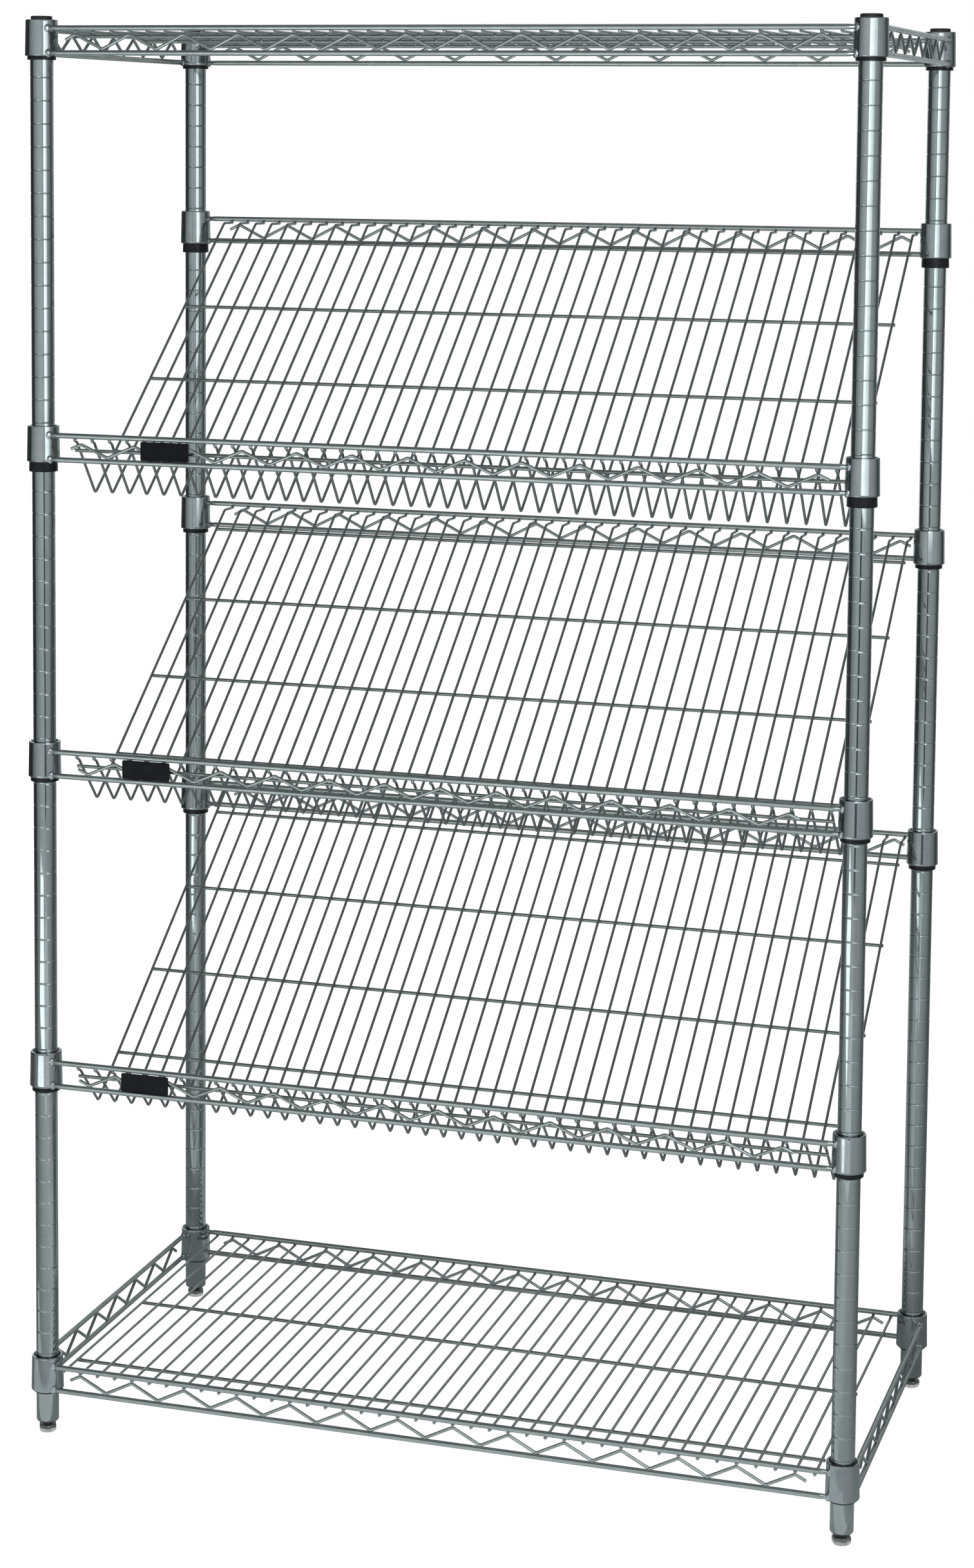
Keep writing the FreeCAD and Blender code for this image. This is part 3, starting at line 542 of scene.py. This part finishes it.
def makeRails(node, alongX, sidesAndTops):
    shape = Shape()
    for side, top in sidesAndTops:
        for drop in (rail["drop"], rail["drop"] + rail["gap"]):
            addRail(shape, alongX, side, top, drop)
    makePiece(shape, [railChrome], node)


# Zigzag wires of the trusses
zigzag = {"radius": 0.0018, "bend": 0.0045, "bendSteps": 5, "pull": 0.06, "endRun": 0.012, "crests": 14,
          "margin": 0.0475, "sideCrests": 7, "sideMargin": 0.048, "sides": 14}
deck = {"radius": 0.0015, "count": 42, "past": 0.0015, "sides": 12, "flatMargin": 0.0263, "slantedMargin": 0.0342,
        "shift": {"top_shelf": -0.0012, "bottom_shelf": -0.0012, "upper_shelf": 0.0096, "middle_shelf": 0.0106,
                  "lower_shelf": 0.0110}}


def zigzagLine(start, run, bends, firstZ, nextZ, place):
    # wire's centre from its short end over the bends to its other short end
    fall = (nextZ - firstZ) * zigzag["endRun"] / run
    heights = [firstZ if i % 2 == 0 else nextZ for i in range(bends)]
    spots = [(start - zigzag["endRun"], firstZ + fall)]
    spots += [(start + i * run, z) for i, z in enumerate(heights)]
    back = fall if heights[-1] == firstZ else -fall
    spots.append((start + (bends - 1) * run + zigzag["endRun"], heights[-1] + back))
    points = [place(u, z) for u, z in spots]
    return roundCorners(points, [zigzag["bend"]] * bends, zigzag["bendSteps"])


def addZigzagX(shape, side, top, drop, shift, turned=False):
    # the bends' corner points stand proud, because rounding draws the wire in
    high = top - rail["drop"] - rail["radius"] - drop - zigzag["radius"]
    low = top - rail["drop"] - rail["gap"] + rail["radius"] + zigzag["radius"]
    run = (unit["halfX"] - zigzag["margin"]) / (zigzag["crests"] - 1)
    bends = 2 * zigzag["crests"] - 1
    if turned:
        high, low, bends = low, high, bends - 1
    pull = (high - low) * zigzag["pull"]
    line = zigzagLine(zigzag["margin"] - unit["halfX"] + shift, run, bends, high + pull, low - pull,
                      lambda u, z: (u, side * railY, z))
    shape.addRings(sweepRings(line, (0, 1, 0), zigzag["radius"], zigzag["sides"]))


def addZigzagY(shape, side, top):
    high = top - rail["drop"] - rail["radius"] - zigzag["radius"]
    low = top - rail["drop"] - rail["gap"] + rail["radius"] + zigzag["radius"]
    pull = (high - low) * zigzag["pull"]
    run = (unit["halfY"] - zigzag["sideMargin"]) / (zigzag["sideCrests"] - 1)
    line = zigzagLine(zigzag["sideMargin"] - unit["halfY"], run, 2 * zigzag["sideCrests"] - 1, high + pull,
                      low - pull, lambda u, z: (side * railX, u, z))
    shape.addRings(sweepRings(line, (1, 0, 0), zigzag["radius"], zigzag["sides"]))


def rowHalf(shelf):  # half the distance between the outermost deck wires
    return unit["halfX"] - deck["flatMargin" if shelf in flatTops else "slantedMargin"]


def wireX(shelf, number):
    return deck["shift"][shelf] + rowHalf(shelf) * (2 * number / (deck["count"] - 1) - 1)


rod = {"radius": 0.00195, "past": 0.0010, "in": 0.046, "deckShares": (0.15, 0.41, 0.68, 0.935), "lipShare": 0.83,
       "sides": 14}


def addRod(shape, shelf, y, z):
    reach = rowHalf(shelf) + deck["radius"] + rod["past"]
    middle = deck["shift"][shelf]
    line = [(middle - reach, y, z), (middle + reach, y, z)]
    shape.addRings(sweepRings(line, (0, 0, 1), rod["radius"], rod["sides"]))


def addNugget(shape, x, y, z, along, size):  # flattened weld where two wires cross
    weldBead(shape, (x, y, z), (0, 0, 1), along, size, x * 50 + y * 30, rows=4, columns=8)


# Flat shelves
def makeFlatShelf(shelf, top):
    makeRails(f"{shelf}_long_rails", True, [(-1, top), (1, top)])
    makeRails(f"{shelf}_side_rails", False, [(-1, top), (1, top)])
    shape = Shape()
    for side in (-1, 1):
        addZigzagX(shape, side, top, 2 * deck["radius"], deck["shift"][shelf])
    makePiece(shape, [railChrome], f"{shelf}_long_zigzags")
    shape = Shape()
    for side in (-1, 1):
        addZigzagY(shape, side, top)
    makePiece(shape, [railChrome], f"{shelf}_side_zigzags")
    wires, rods = Shape(), Shape()
    height = top - rail["drop"] - rail["radius"] - deck["radius"]
    reach = railY + deck["past"]
    rodHeight = height - deck["radius"] - rod["radius"]
    rodYs = (rod["in"] - railY, 0.0, railY - rod["in"])
    for number in range(deck["count"]):
        x = wireX(shelf, number)
        line = [(x, -reach, height), (x, reach, height)]
        wires.addRings(sweepRings(line, (1, 0, 0), deck["radius"], deck["sides"]))
        for y in rodYs:
            addNugget(wires, x, y, rodHeight + rod["radius"] * 0.35, (0, 1, 0), weld["atRod"])
        for side in (-1, 1):
            addNugget(wires, x, side * railY, height + deck["radius"] * 0.2, (0, 1, 0), weld["atRail"])
    for y in rodYs:
        addRod(rods, shelf, y, rodHeight)
    makePiece(wires, [deckChrome, railChrome], f"{shelf}_deck_wires")
    makePiece(rods, [deckChrome], f"{shelf}_cross_rods")


for shelf, top in flatTops.items():
    makeFlatShelf(shelf, top)
print("flat shelves made")


# Slanted shelves: places are Y and Z from the front upper rail
slant = {"back": 0.054, "drop": {"upper_shelf": 0.0690, "middle_shelf": 0.0615, "lower_shelf": 0.0570},
         "hookRun": 0.026, "lipStub": 0.0058, "lipDip": 0.0052, "bendRadius": 0.0045, "hookRadius": 0.008,
         "stubRadius": 0.004, "stubShare": 0.6, "lipPast": 0.0012, "bendSteps": 7, "rodWeldAlong": (0, 1, 0.6),
         "zigzagDrop": 0.0050, "turned": ("middle_shelf", "lower_shelf"),
         "frontShift": {"upper_shelf": 0.0036, "middle_shelf": 0.0110, "lower_shelf": 0.0110},
         "rearShift": {"upper_shelf": 0.0060, "middle_shelf": 0.0120, "lower_shelf": 0.0120}}


def slantedLine(x, base, bend):
    wire = deck["radius"]
    hookZ = rearRise - rail["radius"] - wire
    spots = [(railY + deck["past"], hookZ), (railY - slant["hookRun"], hookZ), bend,
             (-railY + slant["lipStub"], -rail["radius"] - wire - slant["lipDip"] * slant["stubShare"]),
             (-railY - slant["lipPast"], -rail["radius"] - wire)]
    radii = [slant["hookRadius"], slant["bendRadius"], slant["stubRadius"]]
    return roundCorners([(x, y, base + z) for y, z in spots], radii, slant["bendSteps"])


def onLine(start, end, share, off):  # point off a straight run, under it
    y = start[0] + share * (end[0] - start[0])
    z = start[1] + share * (end[1] - start[1])
    slope = math.atan2(end[1] - start[1], end[0] - start[0])
    if end[0] < start[0]:
        slope -= math.pi
    return y + off * math.sin(slope), z - off * math.cos(slope)


def makeSlantedShelf(shelf, top):
    rearTop, base = top + rearRise, top - rail["drop"]
    makeRails(f"{shelf}_front_rails", True, [(-1, top)])
    makeRails(f"{shelf}_rear_rails", True, [(1, rearTop)])
    bend = (slant["back"] - railY, -slant["drop"][shelf])
    front, rear = Shape(), Shape()
    addZigzagX(front, -1, top, slant["zigzagDrop"], slant["frontShift"][shelf], shelf in slant["turned"])
    addZigzagX(rear, 1, rearTop, 2 * deck["radius"], slant["rearShift"][shelf])
    makePiece(front, [railChrome], f"{shelf}_front_zigzag")
    makePiece(rear, [railChrome], f"{shelf}_rear_zigzag")
    wires, rods = Shape(), Shape()
    wire = deck["radius"]
    hookSpot = (railY - slant["hookRun"], rearRise - rail["radius"] - wire)
    lipSpot = (-railY, -rail["radius"])
    off = wire + rod["radius"]
    rodSpots = [onLine(bend, hookSpot, share, off) for share in rod["deckShares"]]
    lipY, lipZ = onLine(bend, lipSpot, rod["lipShare"], off)
    for number in range(deck["count"]):
        x = wireX(shelf, number)
        wires.addRings(sweepRings(slantedLine(x, base, bend), (1, 0, 0), wire, deck["sides"]))
        for y, z in rodSpots:
            addNugget(wires, x, y, base + z + rod["radius"] * 0.3, slant["rodWeldAlong"], weld["atSlantedRod"])
        addNugget(wires, x, railY, base + hookSpot[1] + wire * 0.2, (0, 1, 0), weld["atRail"])
        addNugget(wires, x, -railY, base - rail["radius"] - wire * 0.6, (0, 1, 0), weld["atRail"])
    for y, z in rodSpots + [(lipY, lipZ)]:
        addRod(rods, shelf, y, base + z)
    makePiece(wires, [deckChrome, railChrome], f"{shelf}_deck_wires")
    makePiece(rods, [deckChrome], f"{shelf}_cross_rods")


for shelf, top in slantedTops.items():
    makeSlantedShelf(shelf, top)
print("slanted shelves made")


# Bare label plates with a raised border
label = {"halfWide": 0.02825, "halfHigh": 0.0104, "thick": 0.00125, "round": 0.0018, "border": 0.0013,
         "recess": 0.00025, "recessWall": 0.0002, "ease": 0.0003, "fit": 0.0001, "cornerSteps": 5,
         "in": {"upper_shelf": 0.1515, "middle_shelf": 0.129, "lower_shelf": 0.127}}


def plateLoop(inset, radius):
    spots = []
    w, h = label["halfWide"] - inset, label["halfHigh"] - inset
    for cx, cz, start in ((w - radius, h - radius, 0), (radius - w, h - radius, 90), (radius - w, radius - h, 180),
                          (w - radius, radius - h, 270)):
        for i in range(label["cornerSteps"] + 1):
            angle = math.radians(start + 90 / label["cornerSteps"] * i)
            spots.append((cx + radius * math.cos(angle), cz + radius * math.sin(angle)))
    return spots


def makeLabel(shelf, top):
    middleX = label["in"][shelf] - unit["halfX"]
    back = -(railY + zigzag["radius"] + label["fit"])
    middleZ = top - rail["drop"] - rail["gap"] / 2
    thick, ease = label["thick"], label["ease"]
    layers = [(0.0, 0.0), (0.0, thick - ease), (ease * 0.3, thick - ease * 0.3), (ease, thick),
              (label["border"], thick), (label["border"] + label["recessWall"], thick - label["recess"])]
    rings = [[(middleX + x, back - depth, middleZ + z) for x, z in plateLoop(inset, label["round"] - inset * 0.5)]
             for inset, depth in layers]
    shape = Shape()
    shape.addRings(rings)
    makePiece(shape, [labelPlastic], f"{shelf}_label")


for shelf, top in slantedTops.items():
    makeLabel(shelf, top)
print("labels made")


# Studio: pale floor, white surround, and a shell that glows grey, with brighter glowing panels, that only
# reflections see: a painted reflection of a room round the object
studio = {"floorRadius": 9.0, "floorSides": 64, "inset": 0.01, "nearRadius": 0.9, "farRadius": 3.4,
          "shellRadius": 6.0, "domeRadius": 2.6, "groundHeight": 0.004, "panelHeight": 0.008, "skirt": 0.4,
          "wallTop": 4.2, "domeRise": 1.6, "stepDegrees": 4, "ceiling": 0.12, "zenith": 0.45, "farShare": 0.85}
# degrees from the front towards the right, with the glow of the wall and of the ground ring near the object;
# reflections see this ring instead of the pale floor, a darker painted reflection of the ground
shellTones = ((-180, 0.60, 0.42), (-174, 0.60, 0.42), (-170, 0.12, 0.34), (-155, 0.12, 0.34), (-151, 1.00, 0.38),
              (-137, 1.00, 0.38), (-132, 0.06, 0.22),
              (-100, 0.05, 0.20), (-75, 0.04, 0.20), (-61, 0.29, 0.28), (-52, 0.36, 0.34), (-38, 0.46, 0.43),
              (-22, 0.56, 0.49), (-6, 0.62, 0.53), (10, 0.66, 0.56), (25, 0.56, 0.53), (40, 0.50, 0.43),
              (60, 0.50, 0.38), (73, 0.44, 0.30), (90, 0.36, 0.22), (108, 0.20, 0.17), (120, 0.10, 0.17),
              (133, 0.06, 0.17), (144, 0.32, 0.20), (165, 0.28, 0.24), (171, 0.60, 0.38), (180, 0.60, 0.42))
# upright panels that glow only for reflections, a bright one for the painted highlight band on the chrome and a
# dark one for a dark band: two ends, low and high edge, and the glow at those ends
uprightPanels = ((((0.52, -1.48), (1.23, -0.81)), (0.97, 2.0), (2.4, 1.0)),
                 (((0.56, -2.64), (1.17, -2.46)), (0.12, 0.85), (0.10, 0.10)))
# ground panels that glow only for reflections, bright patches that put painted highlights on the rails and the low
# post ends: two opposite corners and the glow
groundPanels = (((-1.60, -2.90), (-0.20, -1.60), 1.9), ((-0.20, -2.30), (1.00, -1.30), 0.75),
                ((-0.90, -0.40), (0.50, -0.245), 0.58))


def onlyReflections(thing):
    for flag in ("visible_camera", "visible_diffuse", "visible_shadow", "visible_transmission",
                 "visible_volume_scatter"):
        setattr(thing, flag, False)


def makeFloor():
    sides = studio["floorSides"]
    mesh = bpy.data.meshes.new("studioFloor")
    mesh.from_pydata(circle((0, 0), studio["floorRadius"], 0, sides), [], [tuple(range(sides))])
    floor = bpy.data.objects.new("studioFloor", mesh)
    bpy.context.scene.collection.objects.link(floor)
    material = bpy.data.materials.new("paleFloor")
    material.use_nodes = True
    tree = material.node_tree
    tree.nodes.clear()
    link = tree.links.new
    matte = addNode(tree, "ShaderNodeBsdfDiffuse")
    matte.inputs["Color"].default_value = (0.88, 0.88, 0.88, 1)
    glow = setInputs(addNode(tree, "ShaderNodeEmission"), Strength=1.16)
    scaled = addNode(tree, "ShaderNodeMath", operation="MULTIPLY")
    scaled.inputs[1].default_value = 0.75  # the rest stays matte and keeps the shadow
    link(addRayMask(tree), scaled.inputs[0])
    blend = addNode(tree, "ShaderNodeMixShader")
    link(scaled.outputs[0], blend.inputs["Fac"])
    link(matte.outputs[0], blend.inputs[1])
    link(glow.outputs[0], blend.inputs[2])
    link(blend.outputs[0], addNode(tree, "ShaderNodeOutputMaterial").inputs["Surface"])
    mesh.materials.append(material)


def shellMaterial():  # glows by the tone kept at each corner of the mesh
    material = bpy.data.materials.new("shellGlow")
    material.use_nodes = True
    tree = material.node_tree
    tree.nodes.clear()
    tone = addNode(tree, "ShaderNodeAttribute", attribute_name="tone")
    glow = addNode(tree, "ShaderNodeEmission")
    # cool tint of the painted reflections in the chrome
    glow.inputs["Color"].default_value = (0.88, 0.985, 1.0, 1)
    tree.links.new(tone.outputs["Fac"], glow.inputs["Strength"])
    tree.links.new(glow.outputs[0], addNode(tree, "ShaderNodeOutputMaterial").inputs["Surface"])
    return material


def makeShell():
    radius, high, near, far = (studio[key] for key in ("shellRadius", "wallTop", "nearRadius", "farRadius"))
    inset, ground, lift = (studio[key] for key in ("inset", "groundHeight", "panelHeight"))
    crown = high + studio["domeRise"]
    verts, faces, tones = [], [], []

    def quad(corners, glow):
        faces.append(tuple(range(len(verts), len(verts) + 4)))
        verts.extend(corners)
        tones.extend(glow)

    def spot(r, degrees, z):
        angle = math.radians(degrees - 90)
        return (r * math.cos(angle), r * math.sin(angle), z)

    for (first, wallA, nearA), (last, wallB, nearB) in zip(shellTones, shellTones[1:]):
        pieces = max(1, round((last - first) / studio["stepDegrees"]))
        for i in range(pieces):
            shares = (i / pieces, (i + 1) / pieces)
            a, b = (first + (last - first) * share for share in shares)
            walls = [wallA + (wallB - wallA) * share for share in shares]
            nears = [nearA + (nearB - nearA) * share for share in shares]
            fars = [wall * studio["farShare"] for wall in walls]
            tops = [studio["ceiling"]] * 2
            rows = [(inset, ground, nears), (near, ground, nears), (far, ground, fars), (radius, ground, fars),
                    (radius, studio["skirt"], walls), (radius, high, walls), (radius - inset, high, tops),
                    (studio["domeRadius"], crown, tops), (inset, crown, [studio["zenith"]] * 2)]
            for (inner, low, toneIn), (outer, up, toneOut) in zip(rows, rows[1:]):
                quad([spot(inner, a, low), spot(inner, b, low), spot(outer, b, up), spot(outer, a, up)],
                     [toneIn[0], toneIn[1], toneOut[1], toneOut[0]])
    for (start, end), (low, up), (toneA, toneB) in uprightPanels:
        quad([(*start, low), (*end, low), (*end, up), (*start, up)], [toneA, toneB, toneB, toneA])
    for (x0, y0), (x1, y1), tone in groundPanels:
        quad([(x0, y0, lift), (x1, y0, lift), (x1, y1, lift), (x0, y1, lift)], [tone] * 4)
    mesh = bpy.data.meshes.new("studioShell")
    mesh.from_pydata(verts, [], faces)
    mesh.attributes.new("tone", "FLOAT", "POINT").data.foreach_set("value", tones)
    mesh.materials.append(shellMaterial())
    shell = bpy.data.objects.new("studioShell", mesh)
    bpy.context.scene.collection.objects.link(shell)
    onlyReflections(shell)


def makeWorld():
    world = bpy.data.worlds.new("studioWorld")
    bpy.context.scene.world = world
    world.use_nodes = True
    tree = world.node_tree
    tree.nodes.clear()
    link = tree.links.new
    plain = setInputs(addNode(tree, "ShaderNodeBackground"), Strength=0.75)
    white = setInputs(addNode(tree, "ShaderNodeBackground"), Strength=1.0)
    plain.inputs["Color"].default_value = (1, 1, 1, 1)
    white.inputs["Color"].default_value = (1, 1, 1, 1)
    blend = addNode(tree, "ShaderNodeMixShader")
    link(addRayMask(tree), blend.inputs["Fac"])
    link(plain.outputs[0], blend.inputs[1])
    link(white.outputs[0], blend.inputs[2])
    link(blend.outputs[0], addNode(tree, "ShaderNodeOutputWorld").inputs["Surface"])


def makeLamp(name, place, target, size, power):
    lamp = bpy.data.lights.new(name, "AREA")
    lamp.shape = "RECTANGLE"
    lamp.size, lamp.size_y, lamp.energy = size[0], size[1], power
    holder = bpy.data.objects.new(name, lamp)
    bpy.context.scene.collection.objects.link(holder)
    holder.location = place
    holder.rotation_mode = "QUATERNION"
    holder.rotation_quaternion = (Vector(target) - Vector(place)).to_track_quat("-Z", "Y")
    holder.visible_camera = False
    holder.visible_glossy = False  # reflections see the shell's panels instead


makeFloor()
makeShell()
makeWorld()
makeLamp("keyLamp", (-1.2, -4.2, 2.4), (0, 0, 0.8), (2.0, 2.4), 60.0)
makeLamp("overheadLamp", (0.3, -0.4, 4.4), (0, 0, 0.8), (2.6, 2.6), 50.0)

# Camera at the photograph's viewing angle
camera = {"place": (1.0312, -3.3739, 1.4835), "turn": (84.6656, -0.4963, 17.2236), "lens": 71.604,
          "shift": -0.229}
view = bpy.data.cameras.new("photoCamera")
view.lens, view.sensor_width, view.shift_y = camera["lens"], 36.0, camera["shift"]
viewer = bpy.data.objects.new("photoCamera", view)
viewer.location = camera["place"]
viewer.rotation_euler = [math.radians(a) for a in camera["turn"]]
bpy.context.scene.collection.objects.link(viewer)
bpy.context.scene.camera = viewer
bpy.context.scene.view_settings.view_transform = "Standard"
print("studio and camera made")
